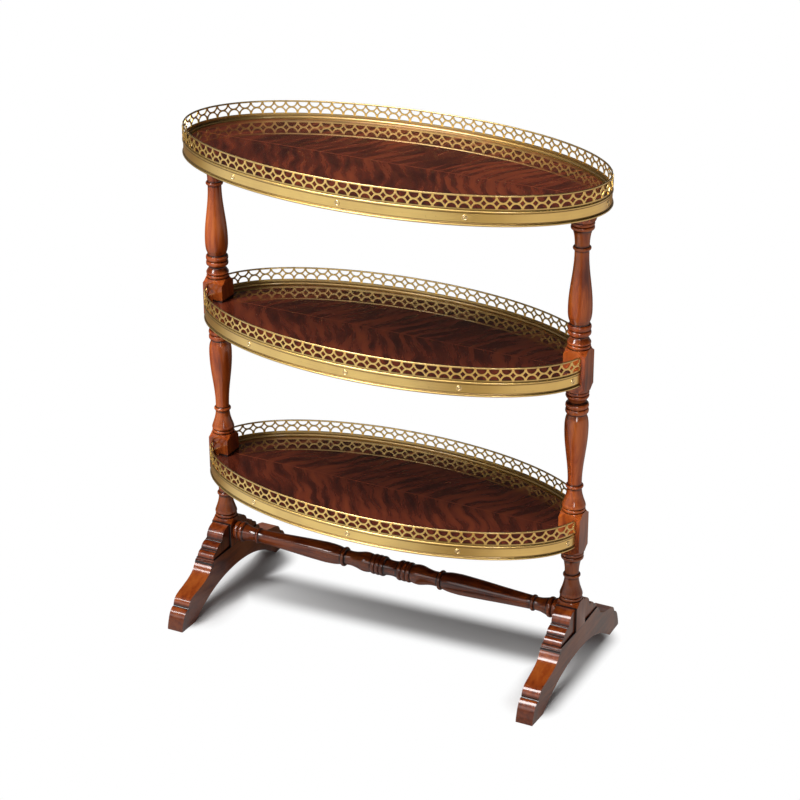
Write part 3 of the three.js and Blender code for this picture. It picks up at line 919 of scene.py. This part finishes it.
FULL_END = [
    *SHOULDER,
    [(12.6, 15.4), (13.8, 16.5), (15.6, 16.4), (18.6, 14.6), (21.6, 12.7), (23.4, 12.2)],
    [(23.4, 12.2), (24.6, 13.2), (25.6, 14.6)],
    bead(25.7, 32.9, 14.6, 16.5),
    [(32.9, 15.0), (33.25, 14.3), (33.6, 15.0)],
    bead(33.6, 41.0, 14.9, 16.5),
    [(41.0, 14.9), (41.6, 13.7), (43.2, 13.6)],
    [(43.2, 13.6), (46.2, 14.6), (50.0, 15.8), (56.5, 16.7), (64.0, 16.9)],
]
TAPER_STEPS = 14


def from_block(runs, face, way):
    """Turned points (height, radius) in order of height, from a block's face at `face`"""
    points = [(face + way * d, r) for d, r in joined(runs)]
    return points if way > 0 else points[::-1]


def taper(start, end):
    """A slow swell between two points of (height, radius)"""
    points = []
    for i in range(1, TAPER_STEPS):
        share = i / TAPER_STEPS
        swell = (1 - math.cos(math.pi * share)) / 2
        points.append((start[0] + (end[0] - start[0]) * share,
                       start[1] + (end[1] - start[1]) * swell))
    return points


def baluster(slender_face, full_face, slender_runs):
    way = 1 if full_face > slender_face else -1
    slender = from_block([*slender_runs, SMALL_BEAD, [(48.2, 10.1), (51.0, 10.05)]],
                         slender_face, way)
    full = from_block(FULL_END, full_face, -way)
    if way > 0:
        return [*slender, *taper(slender[-1], full[0]), *full]
    return [*full, *taper(full[-1], slender[0]), *slender]


# %% The post's line from the foot to the top
FOOT_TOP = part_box("left_foot")[1].z / MM
HEAD = RIM["top"] / MM + BOARD_FOOT
BLOCK_OVER_RIM = 0.9
SHELF_HEADS = {shelf: RIM[shelf] / MM + BLOCK_OVER_RIM for shelf in ("bottom", "middle")}
BLOCKS = {
    "foot": (FOOT_TOP, FOOT_TOP + 38.5),
    "bottom": (SHELF_HEADS["bottom"] - 51.9, SHELF_HEADS["bottom"]),
    "middle": (SHELF_HEADS["middle"] - 51.0, SHELF_HEADS["middle"]),
    "top": (HEAD - 12.0, HEAD),
}
BLOCK_TURN = 24.5
RECESS_SPAN, RECESS_DEPTH, RECESS_CEILING, RECESS_CURVE = 2.2, 1.7, 17.2, 1.2


def glaze_and_shade_of(line):
    """How far each turned point lies below the highest wood near it, from 0 to 1: how much dark
    glaze and painted shade it gets
    """
    capped = [(p, min(r, RECESS_CEILING)) for p, r in line]
    amounts = []
    for place, radius in capped:
        highest = max(r for p, r in capped if abs(p - place) <= RECESS_SPAN)
        amounts.append(min(1.0, (highest - radius) / RECESS_DEPTH) ** RECESS_CURVE)
    return amounts


def add_glaze_and_shade(piece, line):
    """Stores the dark glaze and painted shade of the turned line on the piece's points, by their
    height.
    """
    amounts = glaze_and_shade_of(line)
    places = [p * MM for p, _ in line]
    values = []
    for vertex in piece.data.vertices:
        place = vertex.co.z
        after = next((i for i, p in enumerate(places) if p >= place), len(places) - 1)
        before = max(after - 1, 0)
        span = places[after] - places[before]
        share = (place - places[before]) / span if span > SAME_POINT * MM else 1.0
        share = min(max(share, 0.0), 1.0)
        values.append(amounts[before] * (1 - share) + amounts[after] * share)
    store_dark_and_shade(piece, values)


(foot, foot_top), (bottom, bottom_top), (middle, middle_top), (top, top_end) = BLOCKS.values()
LINE = [
    (foot, BLOCK_TURN),
    *from_block([*STANDING_END, SMALL_BEAD], foot_top, 1), *from_block(HANGING_END, bottom, -1),
    *baluster(bottom_top, middle, STANDING_END), *baluster(top, middle_top, HANGING_END),
    (top_end, BLOCK_TURN),
]
print("post line:", len(LINE), "points from", LINE[0][0], "to", LINE[-1][0])

# %% Turn a post and meet it with its square blank
TURNED_SIDES, TURNED_SMOOTH = 48, 30
EDGE_BEVEL, BLANK_SPARE = 0.9, 0.2
BRACKET_TOP = BLOCKS["foot"][1] - 1.0
SHELF_LINE = 25.6
BLOCK_DARK_LEFT, BLOCK_DARK_LOST = 0.38, 0.36
ENDS = {"left": -1, "right": 1}


def post_creases(paint):
    """Painted shade beside and over the foot's brackets and where a block meets its shelf, and
    the blocks darker, much more on the left post than on the right
    """
    faces = abs(paint.y).over(BLOCK_HALF - 1.4 * MM, BLOCK_HALF - 0.4 * MM)
    beside = abs(abs(paint.x) - POST_X).over(BLOCK_HALF - 3.4 * MM, BLOCK_HALF - 2.4 * MM)
    top = BRACKET_TOP * MM
    line = beside * (1 - paint.z.over(top - 0.5 * MM, top + 1.5 * MM)) * faces
    over = crease(paint.z, BRACKET_TOP + 0.6, 2.2) * faces
    inside = 1 - abs(paint.x).over(POST_X - 1 * MM, POST_X)
    dark = line + over
    # The shelf blocks are darker, much more on the left post than on the right.
    darker_blocks = 0.0
    for shelf in ("middle", "bottom"):
        dark = dark + crease(paint.z, RIM[shelf] / MM - SHELF_LINE, 3.6) * inside
        foot, head = (level * MM for level in BLOCKS[shelf])
        block = paint.z.over(foot - 2 * MM, foot) * (1 - paint.z.over(head, head + 2 * MM))
        darker_blocks = block + darker_blocks
    return dark + darker_blocks * (BLOCK_DARK_LEFT - paint.x.over(-0.1, 0.1) * BLOCK_DARK_LOST)


wood_up = hardwood("polished_hardwood_up", Z, creases=post_creases)


def set_both(pattern, name, part):
    """Sets a copy of the pattern, which has its material, at each end of the table."""
    for word, side in ENDS.items():
        piece = copy_of(pattern, f"{word}_{name}")
        piece.location.x = side * POST_X
        apply_place(piece)
        hand_over(piece, None, "post_wood", f"{word}_{part}")
    bpy.data.objects.remove(pattern)


post = turned("post_pattern", LINE, TURNED_SIDES)
height = RIM["top"]
blank = add_block((0, 0, height / 2), (2 * BLOCK_HALF, 2 * BLOCK_HALF, height + BLANK_SPARE))
bevel(blank, EDGE_BEVEL)
cut_with(post, blank, "INTERSECT")
tidy_normals(post)
soften(post, TURNED_SMOOTH)
add_glaze_and_shade(post, LINE)
post.data.materials.append(wood_up)
set_both(post, "turned_post", "post")

# %% [markdown]
# ## Stretcher
#
# One turned rail ties the posts near the floor. It is the same on both sides of its middle,
# so only half of the line is written, and the other half is its mirror. It is turned
# upright like the posts and then laid down along X.

# %% Stretcher
low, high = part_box("stretcher")
HALF_STRETCHER = [
    [(0, 11.6), (4.5, 11.8), (8.5, 12.5), (11.0, 13.2)],
    bead(11.2, 18.2, 13.6, 15.4),
    bead(18.4, 25.6, 13.6, 15.4),
    bead(25.8, 32.6, 13.4, 15.4),
    [(32.8, 13.1), (37.0, 14.4), (43.0, 15.1), (49.0, 14.6), (56.0, 12.9)],
    [(56.0, 12.9), (63.0, 11.5), (70.0, 11.0), (77.4, 11.4)],
    bead(77.6, 83.4, 12.2, 15.0),
    [(83.6, 12.6), (90.0, 13.9), (97.0, 14.9), (112.0, 15.6)],
    [(112.0, 15.6), (145.0, 14.3), (185.0, 12.1), (226.4, 10.3)],
    bead(227.0, 232.2, 10.4, 12.3),
    [(232.4, 9.9), (237.0, 10.0), (243.0, 10.7), (251.0, 12.8), (253.8, 13.6)],
    bead(254.0, 260.6, 13.8, 15.6),
    [(260.6, 13.8), (261.2, 13.1), (261.8, 13.6)],
    bead(261.8, 268.6, 13.6, 15.2),
    [(268.8, 13.6), (270.4, 13.6)],
]
half = joined(HALF_STRETCHER)
line = [*[(-x, r) for x, r in half[::-1]], *half[1:]]
stretcher = turned("turned_stretcher", line, TURNED_SIDES)
add_glaze_and_shade(stretcher, line)
stretcher.rotation_euler.y = math.pi / 2
stretcher.location.z = (low.z + high.z) / 2
apply_place(stretcher)
soften(stretcher, TURNED_SMOOTH)
hand_over(stretcher, wood_along, "post_wood", "stretcher")

# %% [markdown]
# ## Feet
#
# Each foot is one arched rail, sawn from a plank: flat under the post, then a curve down to
# a toe with a groove across it. The outline is drawn as one line, filled, and given the
# plank's thickness, and both toes are sawn slimmer on each side. Last, every sharp edge is
# broken with a small bevel, which gets the worn finish. Weighted normals keep the faces
# between the bevels flat, so the highlights run straight across them.

# %% Outlines into planks
FOOT_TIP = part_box("left_foot")[1].y / MM
TOE_HALF, PAD_START, ARCH_RISE, SHARP = 12.8, 123.0, 42.6, 28
SHIN = [
    [(0, FOOT_TOP), (66.4, FOOT_TOP)],
    [(66.4, FOOT_TOP), (67.3, 75.9), (68.2, 75.5)],
    bead(68.2, 69.9, 75.3, 75.9, 4), bead(69.9, 71.4, 74.2, 75.0, 4),
    [(71.4, 73.4), (71.8, 72.2)],
    [(71.8, 72.2), (73.0, 70.4), (75.4, 67.5), (77.7, 64.2), (81.2, 60.6), (88.0, 56.8),
     (98.0, 53.0)],
    [(98.0, 53.0), (113.0, 49.2), (122.0, 47.2), (129.5, 44.8), (134.2, 41.9), (137.2, 38.2)],
    [(137.2, 38.2), (139.0, 34.4), (139.8, 31.2)],
    [(139.8, 31.2), (140.8, 30.3), (142.2, 30.8)],
    [(142.2, 30.8), (145.6, 29.5), (149.2, 26.4), (152.6, 21.4), (155.4, 14.6), (158.2, 6.0),
     (FOOT_TIP, 0)],
]


def arch_line(steps=36):
    radius = (PAD_START ** 2 + ARCH_RISE ** 2) / (2 * ARCH_RISE)
    reach = math.asin(PAD_START / radius)
    angles = [reach * (1 - 2 * i / steps) for i in range(steps + 1)]
    return [(radius * math.sin(a), ARCH_RISE - radius * (1 - math.cos(a))) for a in angles]


def plank(name, outline, thickness):
    """An outline of (y, z) points, drawn point by point, filled and extruded along X"""
    points = [Vector((-thickness / 2, y, z)) * MM for y, z in outline]
    deselect_all()
    bpy.ops.mesh.primitive_plane_add(size=MM, location=points[0])
    piece = bpy.context.object
    piece.name = piece.data.name = name
    apply_place(piece)
    with edit_mode(piece):
        bpy.ops.mesh.select_mode(type="VERT")
        bpy.ops.mesh.select_all(action="SELECT")
        bpy.ops.mesh.merge(type="CENTER")
        for before, after in zip(points, points[1:]):
            bpy.ops.mesh.extrude_vertices_move(TRANSFORM_OT_translate={"value": after - before})
        bpy.ops.mesh.select_all(action="SELECT")
        bpy.ops.mesh.edge_face_add()
        across = (thickness * MM, 0, 0)
        bpy.ops.mesh.extrude_region_move(TRANSFORM_OT_translate={"value": across})
    tidy_normals(piece)
    return piece


def slim_toe(piece, side_x, side_y):
    """Saws a thin wedge off one side of one toe."""
    run = FOOT_TIP * MM - BLOCK_HALF
    loss = BLOCK_HALF - TOE_HALF * MM
    saw(piece, (side_x * BLOCK_HALF, side_y * BLOCK_HALF, 0), (side_x * run, side_y * loss, 0),
        clear_outer=True, threshold=ON_PLANE)


def break_edges(piece, finishes, width):
    """Bevels every sharp edge. The bevels get the second finish."""
    for finish in finishes:
        piece.data.materials.append(finish)
    bevel(piece, width, material=1, angle_limit=math.radians(SHARP))
    soften(piece)
    apply_modifier(piece, "WEIGHTED_NORMAL", keep_sharp=True)


print("foot from", -FOOT_TIP, "to", FOOT_TIP, "mm")

# %% Painted shade in the creases of feet and brackets, and both a little darker all over
# How much darker the feet and brackets are all over.
FOOT_DARKENING = 0.13
TOE_GROOVE, STRIP_FRONT, LIP_FRONT, FOOT_FLAT = 140.6, 68.5, 71.7, 66.4
FILLETS = [(39.6, 97.6), (55.8, 87.6)]


def above(paint, low, high):
    """0 below `low` and 1 above `high`, in millimetres over the floor"""
    return paint.z.over(low * MM, high * MM)


def foot_creases(paint):
    # Painted shade in the toe's groove, on the ledge beside the bracket, in the strip and under
    # the lip; the toes darker near the floor, and the whole foot a little darker.
    out = abs(paint.y)
    groove = crease(out, TOE_GROOVE, 3) * above(paint, 24, 28)
    behind = 1 - out.over((FOOT_FLAT - 0.9) * MM, (FOOT_FLAT + 0.6) * MM)
    ledge = behind * above(paint, FOOT_TOP - 1.2, FOOT_TOP - 0.4)
    toe = (1 - above(paint, 16, 32)) * out.over(0.135, 0.15) * 0.45
    strip = crease(out, STRIP_FRONT, 2.6) * above(paint, 66, 69) * 0.8
    under_lip = crease(out, LIP_FRONT, 1.4) * above(paint, 69, 70.5)
    return groove + ledge + strip + under_lip + toe + FOOT_DARKENING


def bracket_creases(paint):
    # Painted shade where the bracket meets the foot and the post and beside the two raised lines;
    # the whole bracket a little darker.
    out = abs(paint.y)
    at_foot = crease(paint.z, FOOT_TOP, 2.2)
    at_post = crease(out, BLOCK_HALF / MM, 3)
    dark = at_foot + at_post + FOOT_DARKENING
    for y, z in FILLETS:
        for way in (-1, 1):
            beside = crease(out, y + 1.5 * way, 1.7)
            dark = dark + beside * crease(paint.z, z - 0.5 - 0.5 * way, 5)
    return dark


def with_worn_edge(part, grain, creases):
    """The finish of a sawn part, and the worn finish of its edges"""
    return (hardwood(f"polished_{part}", grain, creases=creases),
            hardwood(f"worn_{part}_edge", grain, worn=0.25, creases=creases))


print("crease formulas ready")


# %% Saw out the feet
shin = joined(SHIN, steps=5)
back = [(-y, z) for y, z in shin[::-1]]
foot = plank("foot_pattern", [*shin, *arch_line(), *back[:-1]], 2 * BLOCK_HALF / MM)
for side_x in (-1, 1):
    for side_y in (-1, 1):
        slim_toe(foot, side_x, side_y)
tidy_normals(foot)
break_edges(foot, with_worn_edge("foot", Y, foot_creases), 1.0)
set_both(foot, "arched_foot", "foot")

# %% [markdown]
# ## Foot brackets
#
# A small stepped bracket fills each corner between the foot's block and the foot. It is
# thinner than both, so a dark line shows beside it. Its outline is three falling rounds with
# a narrow raised line between each two.

# %% Brackets
BRACKET_THICK, BRACKET_START = 27.5, 16.5
ROUNDS = [((BRACKET_START, BRACKET_TOP), 20.9, 16.9), ((41.7, 96.4), 12.6, 8.2),
          ((57.0, 86.9), 8.5, 7.9)]


def falling_round(start, run, drop, steps=9):
    angles = [math.pi / 2 * i / steps for i in range(steps + 1)]
    return [(start[0] + run * math.sin(a), start[1] - drop * (1 - math.cos(a))) for a in angles]


def fillet(y, z):
    """A narrow raised line between two rounds"""
    return [(y - 1.2, z - 0.7), (y - 0.9, z + 0.3), (y - 0.1, z + 0.6), (y + 0.8, z + 0.1),
            (y + 1.2, z - 0.9), (y + 1.7, z - 1.4)]


def bracket_outline(side):
    outline = [(BRACKET_START, FOOT_TOP)]
    for number, (start, run, drop) in enumerate(ROUNDS):
        outline += falling_round(start, run, drop)
        if number < len(FILLETS):
            outline += fillet(*FILLETS[number])
    outline.append((outline[-1][0], FOOT_TOP))
    return [(side * y, z) for y, z in outline]


finishes = with_worn_edge("bracket", Z, bracket_creases)
for word, side in SIDES.items():
    bracket = plank("bracket_pattern", bracket_outline(side), BRACKET_THICK)
    break_edges(bracket, finishes, 0.35)
    set_both(bracket, f"stepped_bracket_{word}", f"foot_bracket_{word}")

# %% [markdown]
# ## Pins
#
# Small round-headed brass pins hold the bands to the boards. Each head is a low dome with a
# rolled rim and a slot. One is modelled and copied round the fascias.

# %% One pin
PIN_DOWN, PIN_SUNK, PIN_SIDES, PIN_SMOOTH = -31.9, 0.15, 20, 40
SLOT_HEIGHT, SLOT_WIDTH, SLOT_LENGTH = 0.9, 0.8, 4.6
PIN_LINE = [(0.0, 4.0), (0.4, 4.0), (0.75, 3.7), (0.9, 3.2), (0.75, 2.7), (0.3, 2.3),
            (0.3, 1.9), (0.6, 1.6), (0.75, 1.0), (0.8, 0.35)]
PIN_ANGLES = {"top": [0, 57, 90, 123, 180, 237, 270, 303],
              "middle": [12, 57, 90, 124, 168, 192, 236, 270, 303, 348]}
PIN_ANGLES["bottom"] = PIN_ANGLES["middle"]

pin = turned("pin_pattern", PIN_LINE, PIN_SIDES)
size = (SLOT_WIDTH * MM, SLOT_LENGTH * MM, SLOT_WIDTH * MM)
cut_with(pin, add_block((0, 0, SLOT_HEIGHT * MM), size))
soften(pin, PIN_SMOOTH)
print("pin of", len(pin.data.polygons), "faces")

# %% Set the pins round the fascias
UP = Vector((0, 0, 1))
for shelf, axes in AXES.items():
    a, b = axes[0] + FASCIA_OUT * MM, axes[1] + FASCIA_OUT * MM
    for number, degrees in enumerate(PIN_ANGLES[shelf]):
        angle = math.radians(degrees)
        outward = Vector((math.cos(angle) / a, math.sin(angle) / b, 0)).normalized()
        head = copy_of(pin, f"{shelf}_band_pin_{number:02d}")
        place = Vector((a * math.cos(angle), b * math.sin(angle), RIM[shelf] + PIN_DOWN * MM))
        head.matrix_world = facing(place - outward * PIN_SUNK * MM,
                                   UP.cross(outward), UP, outward)
        apply_place(head)
        hand_over(head, brass_pin, "brass")
bpy.data.objects.remove(pin)

# %% [markdown]
# ## Studio
#
# The table stands on a pale floor, lit so that it runs out to pure white, and only the
# ground close round the feet and under the middle keeps its shadow. So the floor is a plain
# lit surface there, and elsewhere goes over to white in what the camera and the reflections
# see. Away from the front left the reflections see it darker and warmer, as the studio's
# unlit side would be. Diffuse light still comes from the plain floor.

# %% Floor
SHADOW_NEAR, SHADOW_FAR, SHADOW_LINE, SHADOW_SLOPE = 0.018, 0.064, 0.031, 0.045
FOOT_NEAR, FOOT_FAR, FOOT_SHIFT = 0.02, 0.052, 0.012
BOUNCE, SHOWN, FLOOR_SIZE = 0.28, 0.56, 40
DARK_SIDE, RIGHT_SIDE = (0.22, 0.14, 0.09), (0.82, 0.74, 0.68)
BRIGHT_WAY = (-0.574, -0.819)
FOOT_REACH = 0.1


def shadow_fade(paint):
    """0 under the stretcher and beside the feet, and 1 away from there"""
    across = paint.y - paint.x * SHADOW_SLOPE - SHADOW_LINE
    beyond = (abs(paint.x) - POST_X).most(0.0) * 3
    fade = ((beyond * beyond + across * across) ** 0.5).over(SHADOW_NEAR, SHADOW_FAR)
    past = (abs(paint.y) - FOOT_REACH).most(0.0)
    for side in (-1, 1):
        beside = paint.x - side * (POST_X - FOOT_SHIFT)
        fade = fade.least(((beside * beside + past * past) ** 0.5).over(FOOT_NEAR, FOOT_FAR))
    return fade


deselect_all()
bpy.ops.mesh.primitive_plane_add(size=FLOOR_SIZE)
floor = bpy.context.object
floor.name = "studio_floor"
paint = Paint("studio_floor")
camera_ray = paint.ray("Is Camera Ray")
mirrored = paint.ray("Is Glossy Ray").most(paint.ray("Is Transmission Ray"))
shade = paint.mix(camera_ray.most(mirrored), (BOUNCE,) * 3, (SHOWN,) * 3)
paint.finish(Base_Color=shade, Roughness=0.9, Specular_IOR_Level=0.0)
distance = (paint.x * paint.x + paint.y * paint.y) ** 0.5
along = paint.x * BRIGHT_WAY[0] + paint.y * BRIGHT_WAY[1]
front_left = (along / distance).over(0.58, 0.88)
right = (paint.x / distance).over(0.4, 0.75)
white, dark, pale = (paint.node("Emission", {"Color": (*colour, 1), "Strength": 1.0})
                     for colour in ((1, 1, 1), DARK_SIDE, RIGHT_SIDE))
lit = Value(paint, paint.shader.outputs[0])
sides = paint.node("MixShader", {"Fac": right, 1: dark, 2: pale})
away = paint.node("MixShader",
                  {"Fac": (1 - front_left) * (1 - camera_ray), 1: white, 2: sides})
factor = shadow_fade(paint) * camera_ray.most(mirrored)
both = paint.node("MixShader", {"Fac": factor, 1: lit, 2: away})
paint.feed(paint.tree.nodes["Material Output"], "Surface", both)
floor.data.materials.append(paint.material)
print("floor white from", SHADOW_FAR, "m off the shadow's lines")

# %% [markdown]
# ## World
#
# The world is the studio's walls. The camera sees white. Reflections see white near the
# horizon, a bright wall behind the camera and a dark ceiling, which is what lets polished
# veneer look deep. As fill light the walls are brighter at the front left than at the back.

# %% World
WALL_FILL, BACK_FILL, FRONT_WALL, SIDE_WALL, CEILING = 0.34, 0.08, 2.8, 0.25, 0.018

world = bpy.data.worlds.new("studio")
bpy.context.scene.world = world
world.use_nodes = True
walls = Nodes(world.node_tree)
x, y, z = walls.split(walls.node("TexCoord", output="Generated"))
front_left = (x * -0.5 - y * 0.866).over(0.3, 0.85)
horizon = (1 - z.over(0.04, 0.26)) * (front_left * 0.5 + 0.5)
height = z.over(0.16, 0.34) * (1 - z.over(0.5, 0.8))
front = (x * -0.087 - y * 0.996).over(0.72, 0.88) * height * FRONT_WALL
front = front.most((1 - y.over(-0.9, -0.4)) * SIDE_WALL)
mirrored = horizon.most(front).most(CEILING)
side = (x * 0.5 + y * 0.85).over(-0.9, 0.7)
fill = WALL_FILL - side * (WALL_FILL - BACK_FILL)
shiny = walls.ray("Is Glossy Ray").most(walls.ray("Is Transmission Ray"))
seen = walls.ray("Is Camera Ray")
strength = (shiny * mirrored + (1 - shiny) * fill) * (1 - seen) + seen
walls.feed(walls.tree.nodes["Background"], "Strength", strength)
walls.feed(walls.tree.nodes["Background"], "Color", (1, 1, 1, 1))
print("fill", WALL_FILL, "at the front left,", BACK_FILL, "at the back")

# %% [markdown]
# ## Lights
#
# A broad light overhead makes the soft shadow under the table. It is kept out of
# reflections, so it doesn't whiten the varnish. The highlights on the polish come from one
# tall softbox at the front left, which also leaves the lower shelves darker than the top. A
# weak lamp at the front right keeps the other side from going flat, and casts no shadow.

# %% Lights
def add_light(name, kind, place, aim, power, **settings):
    data = bpy.data.lights.new(name, kind)
    data.energy = power
    for key, value in settings.items():
        setattr(data, key, value)
    light = bpy.data.objects.new(name, data)
    bpy.context.scene.collection.objects.link(light)
    light.location = place
    direction = Vector(aim) - Vector(place)
    light.rotation_euler = direction.to_track_quat("-Z", "Y").to_euler()
    print(name, power)
    return light


overhead = add_light("overhead_light", "SUN", (0, -0.25, 1.4), (0, 0, 0), 1.6,
                     angle=math.radians(34))
overhead.visible_glossy = False
add_light("front_left_softbox", "AREA", (-1.42, -2.15, 3.5), (0, 0, 0.35), 215,
          shape="RECTANGLE", size=1.05, size_y=2.6)
add_light("right_softbox", "AREA", (1.15, -1.9, 1.0), (POST_X, 0, 0.45), 0.46,
          shape="RECTANGLE", size=0.3, size_y=0.7, spread=math.radians(32), use_shadow=False)
bpy.context.scene.view_settings.view_transform = "Standard"

# %% [markdown]
# ## Hand over
#
# The dressed table must fill the same space as its solids. At the end nothing is left selected.

# %% Nothing left selected
deselect_all()
